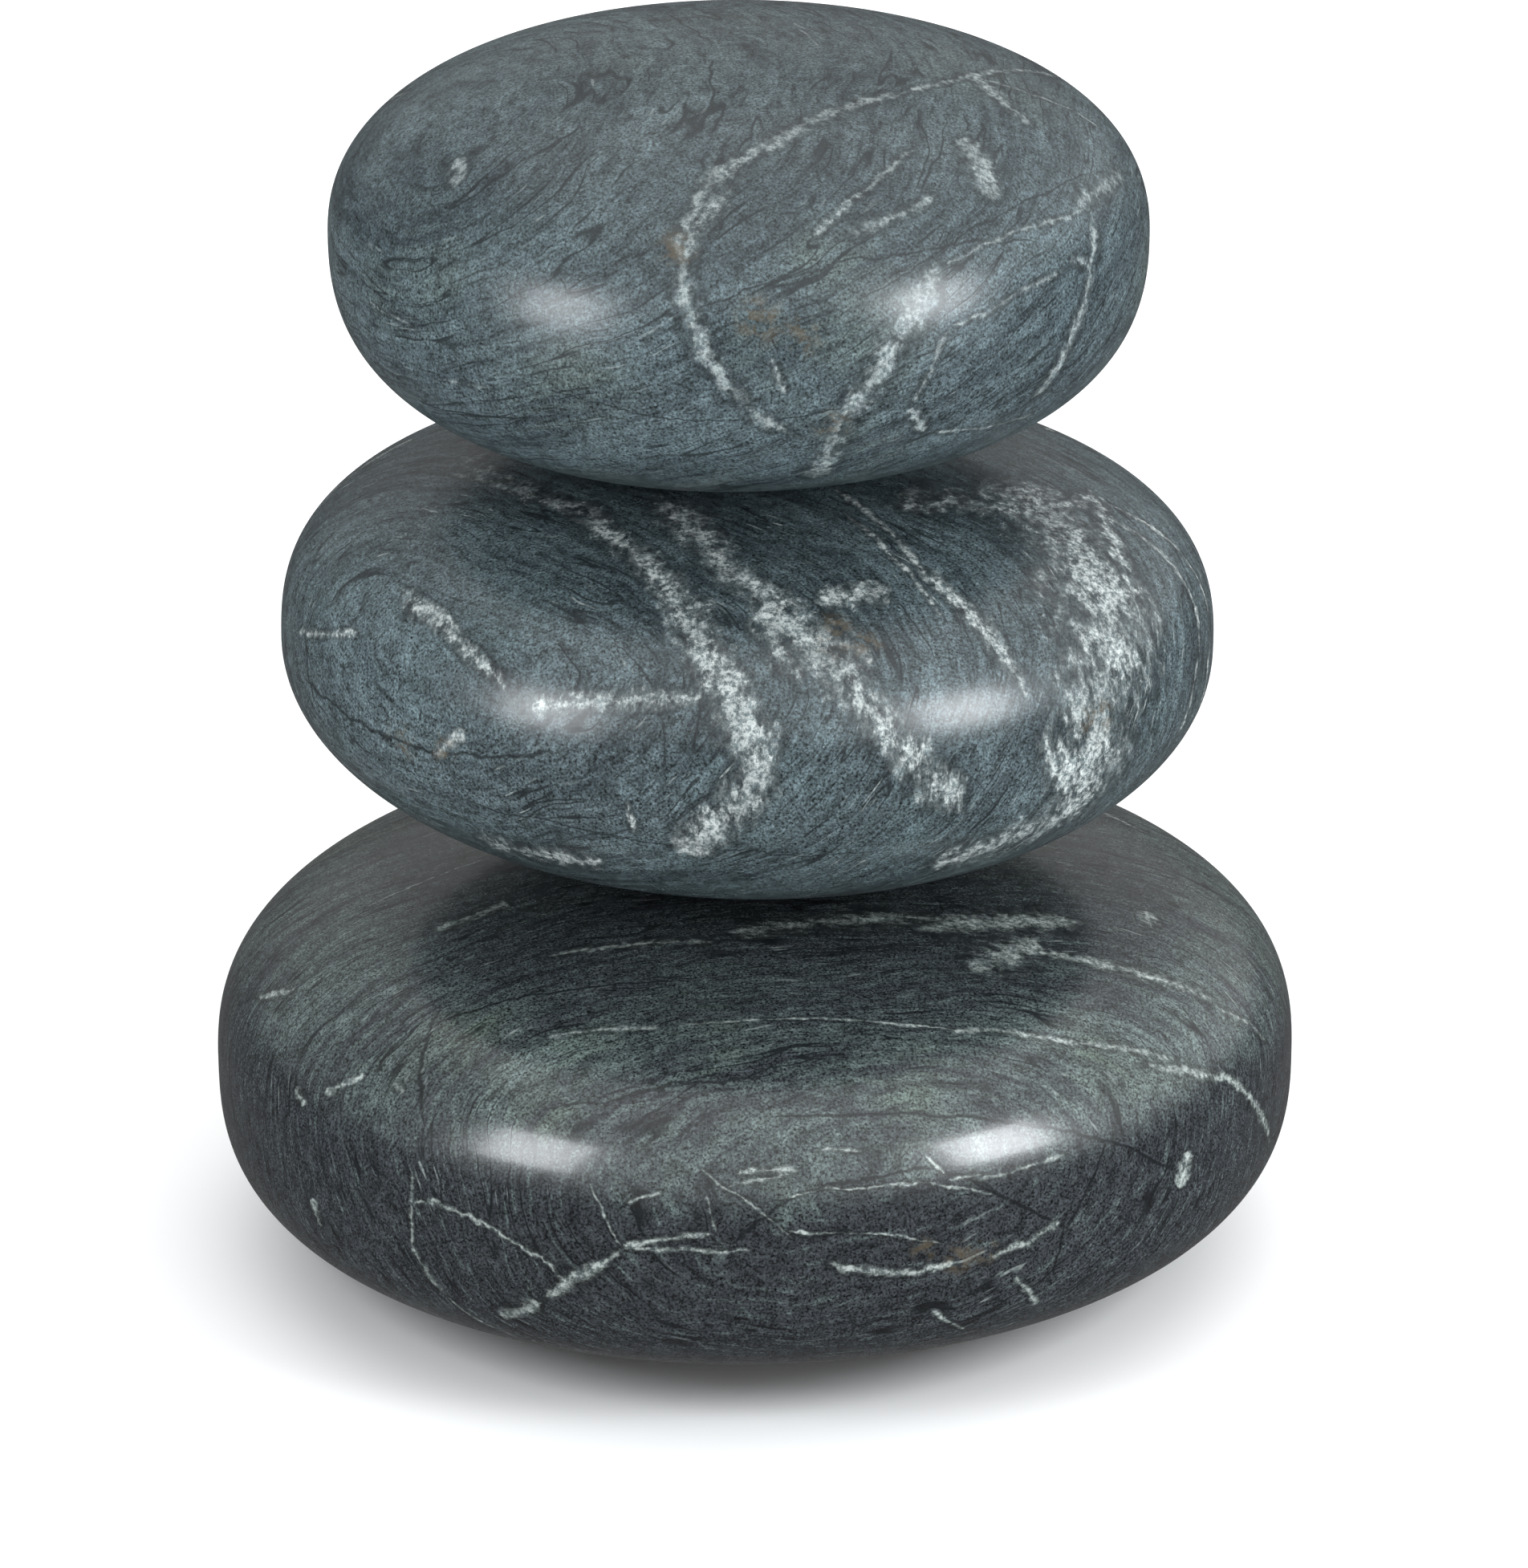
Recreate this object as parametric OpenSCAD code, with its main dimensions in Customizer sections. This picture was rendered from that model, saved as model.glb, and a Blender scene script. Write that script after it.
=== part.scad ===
// Stack of three polished stones. Each upper stone drops over a steel dowel that is
// bonded into the stone below, and sits on a rubber washer, so it can be turned and lifted off.
// The origin is the middle of the cork pad's underside, with +Z up through the stack.

/* [Bottom stone] */
// Diameter at its widest line
bottom_d = 240; // [200:2:300]
// Height above the widest line
bottom_up = 48; // [40:1:56]
// Height below the widest line
bottom_down = 44; // [40:1:56]

/* [Middle stone] */
// Diameter at its widest line
middle_d = 204; // [160:2:220]
// Height above the widest line
middle_up = 44; // [40:1:52]
// Height below the widest line
middle_down = 48; // [40:1:56]

/* [Top stone] */
// Diameter at its widest line
top_d = 176; // [140:2:200]
// Height above the widest line
top_up = 43; // [36:1:52]
// Height below the widest line
top_down = 48; // [40:1:56]

/* [Dowels and washers] */
// Diameter of each steel dowel
dowel_d = 10; // [8:1:12]
// Length of each dowel standing above its seat
dowel_out = 24; // [16:1:28]
// Length of each dowel bonded below its seat
dowel_in = 27; // [20:1:28]
// Outer diameter of each rubber washer
washer_d = 32; // [28:1:36]
// Thickness of each rubber washer
washer_t = 2; // [1.8:0.2:3]

/* [Base] */
// Diameter of the cork pad under the bottom stone
cork_d = 84; // [60:2:100]
// Thickness of the cork pad
cork_t = 2; // [1:0.5:3]

/* [Hidden] */

// Fullness of a stone's upper and lower half: 2 is an ellipse, and more is squarer in the shoulder.
bottom_full = [2.67, 3.0];
middle_full = [2.7, 2.06];
top_full = [2.27, 2.5];

// How far a stone's middle lies from the bottom stone's axis, and how many degrees it leans.
middle_shift = [-1.7, 1];
top_shift = [-3.6, -1];
bottom_tilt = -0.5;
middle_tilt = 0.9;
top_tilt = -0.2;

dowel_axis = [-1.5, 0];   // both dowels stand on this one vertical line
cork_margin = 3;          // ground flat showing around the cork
seat_cut = 0.8;           // depth of each spot-faced seat below the stone's pole
seat_margin = 2;          // seat showing around a washer
resin_gap = 1;            // resin around and under a bonded dowel
resin_low = 1.5;          // how far the resin stops below the seat
socket_gap = 0.5;         // room around a dowel in the socket that drops over it
socket_spare = 3;         // length of that socket beyond the dowel's end
washer_gap = 0.3;         // room around a dowel in its washer
washer_edge = 0.5;        // chamfer around a washer's rim
dowel_edge = 1;           // chamfer on a dowel's ends
bore_edge = 0.8;          // chamfer at the mouth of each drilled hole
clear_h = 20;             // height of the cutters that face a stone off, past its pole
profile_steps = 26;       // points in each quarter of a stone's outline

// How far a stone's surface has fallen from its pole at the radius r.
function fall(r, widest, h, full) = h * (1 - pow(1 - pow(r / widest, full), 1 / full));

base_cut = fall(cork_d / 2 + cork_margin, bottom_d / 2, bottom_down, bottom_full[1]);
bottom_z = cork_t + bottom_down - base_cut;
lower_seat_z = bottom_z + bottom_up - seat_cut;
middle_z = lower_seat_z + washer_t + middle_down - seat_cut;
upper_seat_z = middle_z + middle_up - seat_cut;
top_z = upper_seat_z + washer_t + top_down - seat_cut;

stone_color = [0.24, 0.29, 0.29];
dark_stone_color = [0.17, 0.19, 0.2];
steel_color = [0.75, 0.76, 0.77];
resin_color = [0.82, 0.79, 0.66];
rubber_color = [0.06, 0.06, 0.065];
cork_color = [0.62, 0.44, 0.28];

// One quarter of a stone's outline, from its pole to its widest line.
function quarter(widest, h, full) = [
    for (i = [0:profile_steps])
        let (a = 90 * i / profile_steps)
        [widest * pow(sin(a), 2 / full), h * pow(cos(a), 2 / full)]
];

// A whole outline, from the upper pole round to the lower one.
function outline(widest, up, down, full) =
    let (upper = quarter(widest, up, full[0]), lower = quarter(widest, down, full[1]))
    concat(upper, [for (i = [profile_steps - 1:-1:0]) [lower[i][0], -lower[i][1]]]);

module pebble(d, up, down, full, tilt) {
    rotate([0, tilt, 0])
        rotate_extrude($fn = 128)
            polygon(outline(d / 2, up, down, full));
}

// A flat seat at z = 0, with a chamfered hole going down from it.
module seat_and_hole(d, depth) {
    cylinder(d = washer_d + 2 * seat_margin, h = clear_h, $fn = 96);
    translate([0, 0, -depth]) cylinder(d = d, h = depth + bore_edge, $fn = 64);
    translate([0, 0, -bore_edge])
        cylinder(d1 = d, d2 = d + 4 * bore_edge, h = 2 * bore_edge, $fn = 64);
}

// Cut into the top of a stone: the hole that a dowel is bonded into.
module dowel_seat() {
    seat_and_hole(dowel_d + 2 * resin_gap, dowel_in + resin_gap);
}

// Cut into the underside of a stone: the socket that drops over the dowel below.
module socket_seat() {
    rotate([180, 0, 0])
        seat_and_hole(dowel_d + 2 * socket_gap, dowel_out - washer_t + socket_spare);
}

module at_axis(z) {
    translate([dowel_axis[0], dowel_axis[1], z]) children();
}

module dowel() {
    r = dowel_d / 2;
    rotate_extrude($fn = 64)
        polygon([[0, -dowel_in], [r - dowel_edge, -dowel_in], [r, dowel_edge - dowel_in],
                 [r, dowel_out - dowel_edge], [r - dowel_edge, dowel_out], [0, dowel_out]]);
}

module resin() {
    difference() {
        translate([0, 0, -dowel_in - resin_gap])
            cylinder(d = dowel_d + 2 * resin_gap, h = dowel_in + resin_gap - resin_low, $fn = 64);
        dowel();
    }
}

module washer() {
    r = washer_d / 2;
    r_in = dowel_d / 2 + washer_gap;
    rotate_extrude($fn = 96)
        polygon([[r_in, 0], [r - washer_edge, 0], [r, washer_edge], [r, washer_t - washer_edge],
                 [r - washer_edge, washer_t], [r_in, washer_t]]);
}

module bottom_stone() {
    color(dark_stone_color)
    difference() {
        translate([0, 0, bottom_z])
            pebble(bottom_d, bottom_up, bottom_down, bottom_full, bottom_tilt);
        translate([0, 0, cork_t - clear_h])
            cylinder(d = bottom_d, h = clear_h, $fn = 128);
        at_axis(lower_seat_z) dowel_seat();
    }
}

module middle_stone() {
    color(stone_color)
    difference() {
        translate([middle_shift[0], middle_shift[1], middle_z])
            pebble(middle_d, middle_up, middle_down, middle_full, middle_tilt);
        at_axis(upper_seat_z) dowel_seat();
        at_axis(lower_seat_z + washer_t) socket_seat();
    }
}

module top_stone() {
    color(stone_color)
    difference() {
        translate([top_shift[0], top_shift[1], top_z])
            pebble(top_d, top_up, top_down, top_full, top_tilt);
        at_axis(upper_seat_z + washer_t) socket_seat();
    }
}

module lower_dowel() {
    color(steel_color) at_axis(lower_seat_z) dowel();
}

module upper_dowel() {
    color(steel_color) at_axis(upper_seat_z) dowel();
}

module lower_resin() {
    color(resin_color) at_axis(lower_seat_z) resin();
}

module upper_resin() {
    color(resin_color) at_axis(upper_seat_z) resin();
}

module lower_washer() {
    color(rubber_color) at_axis(lower_seat_z) washer();
}

module upper_washer() {
    color(rubber_color) at_axis(upper_seat_z) washer();
}

module base_cork() {
    color(cork_color) cylinder(d = cork_d, h = cork_t, $fn = 128);
}

bottom_stone();
middle_stone();
top_stone();
lower_dowel();
upper_dowel();
lower_resin();
upper_resin();
lower_washer();
upper_washer();
base_cork();
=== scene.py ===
"""Looks of the stacked spa stones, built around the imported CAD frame.

The three stones are turned meshes with the outlines of their CAD solids, in polished rock
whose bedding, veins and cracks are laid out in three dimensions, so that they run through
each stone and cut its surface the way real ones do. Shapes and patterns are in millimetres.
"""

import math

import bpy
import numpy as np
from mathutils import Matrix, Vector


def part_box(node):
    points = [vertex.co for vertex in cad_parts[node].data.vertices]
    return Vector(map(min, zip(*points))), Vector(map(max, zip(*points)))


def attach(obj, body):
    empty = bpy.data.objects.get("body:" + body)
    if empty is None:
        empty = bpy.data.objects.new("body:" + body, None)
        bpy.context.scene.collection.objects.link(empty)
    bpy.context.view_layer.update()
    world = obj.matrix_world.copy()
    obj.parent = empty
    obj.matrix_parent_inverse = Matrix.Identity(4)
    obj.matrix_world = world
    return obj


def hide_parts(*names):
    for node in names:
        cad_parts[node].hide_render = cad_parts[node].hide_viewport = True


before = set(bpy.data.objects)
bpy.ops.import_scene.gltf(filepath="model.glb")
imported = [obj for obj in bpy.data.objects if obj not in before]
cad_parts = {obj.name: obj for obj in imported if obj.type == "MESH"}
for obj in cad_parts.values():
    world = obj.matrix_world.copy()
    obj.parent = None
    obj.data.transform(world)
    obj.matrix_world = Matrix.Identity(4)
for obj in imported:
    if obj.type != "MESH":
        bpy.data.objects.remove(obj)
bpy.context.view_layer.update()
MM = 0.001


# ---------------------------------------------------------------- shapes of the stones

AROUND = 320          # mesh columns around a stone
HALF_RINGS = 84       # mesh rings from a pole to the widest line
BLEND_RINGS = 16      # rings over which the mesh turns from a drilled seat to the stone's own axis
CRISP = 0.05          # width of the narrow band of faces that keeps a turned edge sharp
CENTRE_R = 0.01       # radius of the ring that closes a hole's end
POLE_UP = 89.9        # the highest angle used on a stone, just short of its pole, in degrees
SHARP = 30            # an edge that turns by more than this is shaded sharp, in degrees
FLAT_SHARES = (0.99, 0.001)  # rings in a ground flat, as shares of its rim
SEARCH_STEPS = 40     # halvings in a search for a place on a stone
PAST_POLE = 80.0      # a height above the centre that is outside every stone

SEAT_R = 18.0         # spot-faced seat around each dowel hole
SEAT_CUT = 0.8        # a seat's depth below the stone's pole
BORE_EDGE = 0.8       # chamfer at a hole's mouth
DOWEL_HOLE_R = 6.0    # hole that a dowel is bonded into
SOCKET_R = 5.5        # hole that drops over a dowel
RESIN_UNDER = 1.0     # resin under a dowel's bonded end
SOCKET_SPARE = 3.0    # socket beyond a dowel's free end
AXIS_X = -1.5         # the dowels' upright line is at this x, and at y = 0

SWELL = 0.11          # how far each long, low wave lifts a ground surface
WAVES = [
    # radians per millimetre along x, y and z, and for each millimetre of the stone's radius
    (0.018, 0.031, 0.012, 1.3),
    (-0.027, 0.014, 0.033, 4.1),
    (0.011, -0.037, 0.021, 2.2),
    (0.041, 0.022, -0.036, 5.6),
    (-0.033, -0.045, 0.028, 0.7),
]

SHAPES = {
    # up and down: heights above and below the widest line; full: squareness of those two halves
    "bottom_stone": dict(up=48, down=44, full=(2.67, 3.0), shift=(0, 0), tilt=-0.5),
    "middle_stone": dict(up=44, down=48, full=(2.7, 2.06), shift=(-1.7, 1), tilt=0.9),
    "top_stone": dict(up=43, down=48, full=(2.27, 2.5), shift=(-3.6, -1), tilt=-0.2),
}
TURNS = np.arange(AROUND) * 360 / AROUND


class Stone:
    """One stone's outline in its own upright axes about its centre."""

    def __init__(self, node, centre_z):
        shape = SHAPES[node]
        low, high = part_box(node)
        self.node = node
        self.r = (high.y - low.y) / 2 / MM
        self.heights = (shape["up"], shape["down"])
        self.full = shape["full"]
        self.centre = np.array([*shape["shift"], centre_z], float)
        tilt = math.radians(shape["tilt"])
        cos, sin = math.cos(tilt), math.sin(tilt)
        self.turn = np.array([[cos, 0, sin], [0, 1, 0], [-sin, 0, cos]])

    def point(self, around, up):
        """Surface points: around is 0 at the front and 90 on +X, up is 90 at the upper pole, in degrees."""
        around, up = np.radians(around), np.radians(up)
        full = np.where(up >= 0, *self.full)
        height = np.where(up >= 0, self.heights[0], -self.heights[1])
        out = self.r * np.cos(up) ** (2 / full)
        z = height * np.abs(np.sin(up)) ** (2 / full)
        return np.stack(np.broadcast_arrays(out * np.sin(around), -out * np.cos(around), z), -1)

    def size_at(self, p):
        """1 on the surface, and less inside."""
        full = np.where(p[..., 2] >= 0, *self.full)
        height = np.where(p[..., 2] >= 0, *self.heights)
        out = np.hypot(p[..., 0], p[..., 1]) / self.r
        return (out ** full + (np.abs(p[..., 2]) / height) ** full) ** (1 / full)

    def onto(self, p):
        """The place on the surface straight out from the centre through p."""
        return p / self.size_at(p)[..., None]

    def outward(self, p):
        """The unit normal of the surface at p."""
        half = 0 if p[2] >= 0 else 1
        full, height = self.full[half], self.heights[half]
        out = math.hypot(p[0], p[1])
        level = (out / self.r) ** (full - 1) / self.r / out
        steep = (abs(p[2]) / height) ** (full - 1) / height
        return Vector((level * p[0], level * p[1], math.copysign(steep, p[2]))).normalized()

    def to_row(self, p):
        """From the stone's own axes to the assembly's."""
        return p @ self.turn.T + self.centre

    def to_own(self, p):
        """From the assembly's axes to the stone's own."""
        return (p - self.centre) @ self.turn

    def seat_edge(self, side):
        """Where an upright cylinder about the dowel cuts the surface, above (side 1) or below (-1)."""
        ring = level_ring(SEAT_R, 0)
        near = np.zeros(AROUND)
        far = np.full(AROUND, PAST_POLE)
        for _ in range(SEARCH_STEPS):
            middle = (near + far) / 2
            ring[:, 2] = self.centre[2] + side * middle
            inside = self.size_at(self.to_own(ring)) < 1
            near = np.where(inside, middle, near)
            far = np.where(inside, far, middle)
        return self.to_own(ring)

    def flat_edge(self, z):
        """Where the level plane at height z cuts the surface below the widest line."""
        lower = np.full(AROUND, -POLE_UP)
        upper = np.zeros(AROUND)
        for _ in range(SEARCH_STEPS):
            middle = (lower + upper) / 2
            below = self.to_row(self.point(TURNS, middle))[:, 2] < z
            lower = np.where(below, middle, lower)
            upper = np.where(below, upper, middle)
        return self.point(TURNS, lower)

    def swell(self, ring):
        """The ring, moved in and out by a few long, low waves, as a hand-ground surface is."""
        lift = sum(np.sin(ring @ np.array(along) + phase * self.r) for *along, phase in WAVES)
        out = ring / np.linalg.norm(ring, axis=-1, keepdims=True)
        return out * (SWELL * lift)[:, None]

    def half(self, edge, side):
        """Rings of the upper (side 1) or lower (-1) half, from its edge ring towards the widest line.

        The edge ring is level with the assembly or round the dowels' line, and the widest line
        is the stone's own, so the first rings change gradually from one to the other.
        """
        half = 0 if side > 0 else 1
        full, height = self.full[half], self.heights[half]
        along = (np.abs(edge[:, 2]) / height) ** (full / 2)
        out = (np.hypot(edge[:, 0], edge[:, 1]) / self.r) ** (full / 2)
        edge_up = side * math.degrees(np.arctan2(along, out).mean())
        off = edge - self.point(TURNS, edge_up)
        rings = []
        for i in range(HALF_RINGS):
            ring = self.point(TURNS, edge_up * (1 - i / HALF_RINGS))
            blended = min(1.0, i / BLEND_RINGS)
            ring = self.onto(ring + off * (0.5 + 0.5 * math.cos(math.pi * blended)))
            rings.append(self.to_row(ring + self.swell(ring) * blended))
        return rings

    def waist(self):
        """The ring at the widest line."""
        ring = self.point(TURNS, 0)
        return self.to_row(ring + self.swell(ring))


def level_ring(radius, z):
    """A level circle about the dowels' line."""
    around = np.radians(TURNS)
    x = AXIS_X + radius * np.sin(around)
    y = -radius * np.cos(around)
    return np.stack([x, y, np.full(AROUND, float(z))], -1)


def seat_rings(z, side, hole_r, depth):
    """Rings from a blind hole's closed end out to its seat's rim, opening towards side (1 up, -1 down)."""
    end_z = z - side * depth
    return [
        level_ring(CENTRE_R, end_z),
        level_ring(hole_r - CRISP, end_z),
        level_ring(hole_r, end_z + side * CRISP),
        level_ring(hole_r, z - side * BORE_EDGE),
        level_ring(hole_r + BORE_EDGE, z),
        level_ring(SEAT_R - CRISP, z),
        level_ring(SEAT_R, z + side * CRISP),
    ]


def build_stone(stone, upper_seat=None, lower_seat=None, flat_z=None):
    """A stone as a closed mesh, from its upper pole or seat to its lower seat or ground flat.

    Each seat is (height, radius of its hole, depth of its hole), and flat_z is the flat's height.
    """
    if upper_seat:
        rings = seat_rings(upper_seat[0], 1, *upper_seat[1:]) + stone.half(stone.seat_edge(1), 1)
    else:
        rings = stone.half(stone.point(TURNS, POLE_UP), 1)
    rings.append(stone.waist())
    if lower_seat:
        rings += stone.half(stone.seat_edge(-1), -1)[::-1]
        rings += seat_rings(lower_seat[0], -1, *lower_seat[1:])[::-1]
    else:
        edge = stone.flat_edge(flat_z)
        rings += stone.half(edge, -1)[::-1]
        rim = stone.to_row(edge)
        rings += [rim * (share, share, 0) + (0, 0, flat_z) for share in FLAT_SHARES]
    return mesh_from_rings(stone.node + "_turned", rings)


def mesh_from_rings(name, rings):
    """A mesh of quads between neighbouring rings, closed by one face at each end."""
    faces = [tuple(range(AROUND))]
    for i in range(len(rings) - 1):
        here, below = i * AROUND, (i + 1) * AROUND
        for j in range(AROUND):
            k = (j + 1) % AROUND
            faces.append((here + j, below + j, below + k, here + k))
    last = (len(rings) - 1) * AROUND
    faces.append(tuple(last + j for j in reversed(range(AROUND))))
    mesh = bpy.data.meshes.new(name)
    mesh.from_pydata((np.concatenate(rings) * MM).tolist(), [], faces)
    mesh.polygons.foreach_set("use_smooth", np.ones(len(mesh.polygons), bool))
    mesh.set_sharp_from_angle(angle=math.radians(SHARP))
    piece = bpy.data.objects.new(name, mesh)
    bpy.context.scene.collection.objects.link(piece)
    return piece


# ---------------------------------------------------------------- shader building

class Graph:
    """The node tree of a material or a world, with short names for the nodes used here."""

    def __init__(self, owner):
        self.owner = owner
        owner.use_nodes = True
        self.tree = owner.node_tree
        self.tree.nodes.clear()

    def node(self, kind, **settings):
        made = self.tree.nodes.new(kind)
        for key, value in settings.items():
            setattr(made, key, value)
        return made

    def put(self, value, socket):
        if isinstance(value, bpy.types.NodeSocket):
            self.tree.links.new(value, socket)
        else:
            socket.default_value = value

    def math(self, operation, a, b=0.0, clamp=False):
        n = self.node("ShaderNodeMath", operation=operation, use_clamp=clamp)
        self.put(a, n.inputs[0])
        self.put(b, n.inputs[1])
        return n.outputs[0]

    def vector(self, operation, a, b=(0, 0, 0)):
        n = self.node("ShaderNodeVectorMath", operation=operation)
        self.put(a, n.inputs[0])
        self.put(b, n.inputs[3] if operation == "SCALE" else n.inputs[1])
        return n.outputs["Value"] if operation in ("DOT_PRODUCT", "DISTANCE") else n.outputs["Vector"]

    def noise(self, p, size, detail=2.0, rough=0.5):
        """Noise from 0 to 1 whose features are about size millimetres across."""
        return self.noise_node(p, size, detail, rough).outputs["Fac"]

    def noise_node(self, p, size, detail, rough):
        n = self.node("ShaderNodeTexNoise")
        self.put(p, n.inputs["Vector"])
        n.inputs["Scale"].default_value = 1 / size
        n.inputs["Detail"].default_value = detail
        n.inputs["Roughness"].default_value = rough
        return n

    def wander(self, p, size, reach, detail=1.0):
        """A vector that wanders by about reach millimetres each way, over size millimetres."""
        colour = self.noise_node(p, size, detail, 0.5).outputs["Color"]
        return self.vector("SCALE", self.vector("SUBTRACT", colour, (0.5, 0.5, 0.5)), 3.0 * reach)

    def smooth(self, x, low, high):
        """0 below low and 1 above high, with a smooth step between."""
        n = self.node("ShaderNodeMapRange", interpolation_type="SMOOTHSTEP")
        self.put(x, n.inputs["Value"])
        self.put(low, n.inputs["From Min"])
        self.put(high, n.inputs["From Max"])
        return n.outputs["Result"]

    def line(self, x, low, high, low_out=0.0, high_out=1.0):
        n = self.node("ShaderNodeMapRange")
        self.put(x, n.inputs["Value"])
        self.put(low, n.inputs["From Min"])
        self.put(high, n.inputs["From Max"])
        self.put(low_out, n.inputs["To Min"])
        self.put(high_out, n.inputs["To Max"])
        return n.outputs["Result"]

    def mix(self, share, a, b, blend="MIX"):
        n = self.node("ShaderNodeMix", data_type="RGBA", blend_type=blend)
        self.put(share, n.inputs[0])
        self.put(a if isinstance(a, bpy.types.NodeSocket) else (*a, 1), n.inputs[6])
        self.put(b if isinstance(b, bpy.types.NodeSocket) else (*b, 1), n.inputs[7])
        return n.outputs[2]

    def millimetres(self, centre=(0, 0, 0)):
        """Places in the mesh in millimetres from centre, which stay with it as it moves."""
        place = self.node("ShaderNodeTexCoord").outputs["Object"]
        scaled = self.vector("SCALE", place, 1 / MM)
        return self.vector("SUBTRACT", scaled, tuple(float(c) for c in centre))

    def surface(self, colour, roughness, height=None, depth=0.0, **fixed):
        """The finished shader. depth is the relief in millimetres between heights 0 and 1."""
        shader = self.node("ShaderNodeBsdfPrincipled")
        self.put(colour, shader.inputs["Base Color"])
        self.put(roughness, shader.inputs["Roughness"])
        for key, value in fixed.items():
            shader.inputs[key.replace("_", " ")].default_value = value
        if height is not None:
            bump = self.node("ShaderNodeBump")
            bump.inputs["Strength"].default_value = 1.0
            bump.inputs["Distance"].default_value = depth * MM
            self.put(height, bump.inputs["Height"])
            self.put(bump.outputs["Normal"], shader.inputs["Normal"])
        out = self.node("ShaderNodeOutputMaterial")
        self.put(shader.outputs["BSDF"], out.inputs["Surface"])
        return self.owner


# ---------------------------------------------------------------- the rock

def direction(around, up):
    """A unit vector: around is 0 to the front and 90 to +X, up is its angle above level, in degrees."""
    around, up = math.radians(around), math.radians(up)
    return Vector((math.sin(around) * math.cos(up), -math.cos(around) * math.cos(up), math.sin(up)))


def facing(stone, around, up):
    """The place on the surface whose outward normal points in the given direction."""
    low, high = -POLE_UP, POLE_UP
    for _ in range(SEARCH_STEPS):
        middle = (low + high) / 2
        if stone.outward(stone.point(around, middle)).z < math.sin(math.radians(up)):
            low = middle
        else:
            high = middle
    return Vector(stone.turn @ stone.point(around, low))


def sheet_of(stone, places):
    """A flat sheet cutting the surface: (normal, middle place, reach, sine of its angle to the surface).

    It goes through three places on the surface, or through two and square to the surface.
    """
    on = [stone.point(*place) for place in places]
    if len(on) == 2:
        middle = stone.onto((on[0] + on[1]) / 2)
        normal = Vector(on[1] - on[0]).cross(stone.outward(middle)).normalized()
    else:
        middle = on[1]
        normal = Vector(on[1] - on[0]).cross(Vector(on[2] - on[0])).normalized()
    steepness = normal.cross(stone.outward(middle)).length
    reach = max(Vector(on[0] - middle).length, Vector(on[-1] - middle).length)
    return Vector(stone.turn @ np.array(normal)), Vector(stone.turn @ middle), reach, steepness


LEAST_STEEPNESS = 0.25   # a sheet that lies flatter than this is thinned no further
FADE = (0.8, 1.35)       # a vein fades out between these shares of its reach
GONE = -3.0              # how far outside a vein counts as being past its end
RUST = (0.11, 0.085, 0.05)  # colour of its stains


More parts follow.
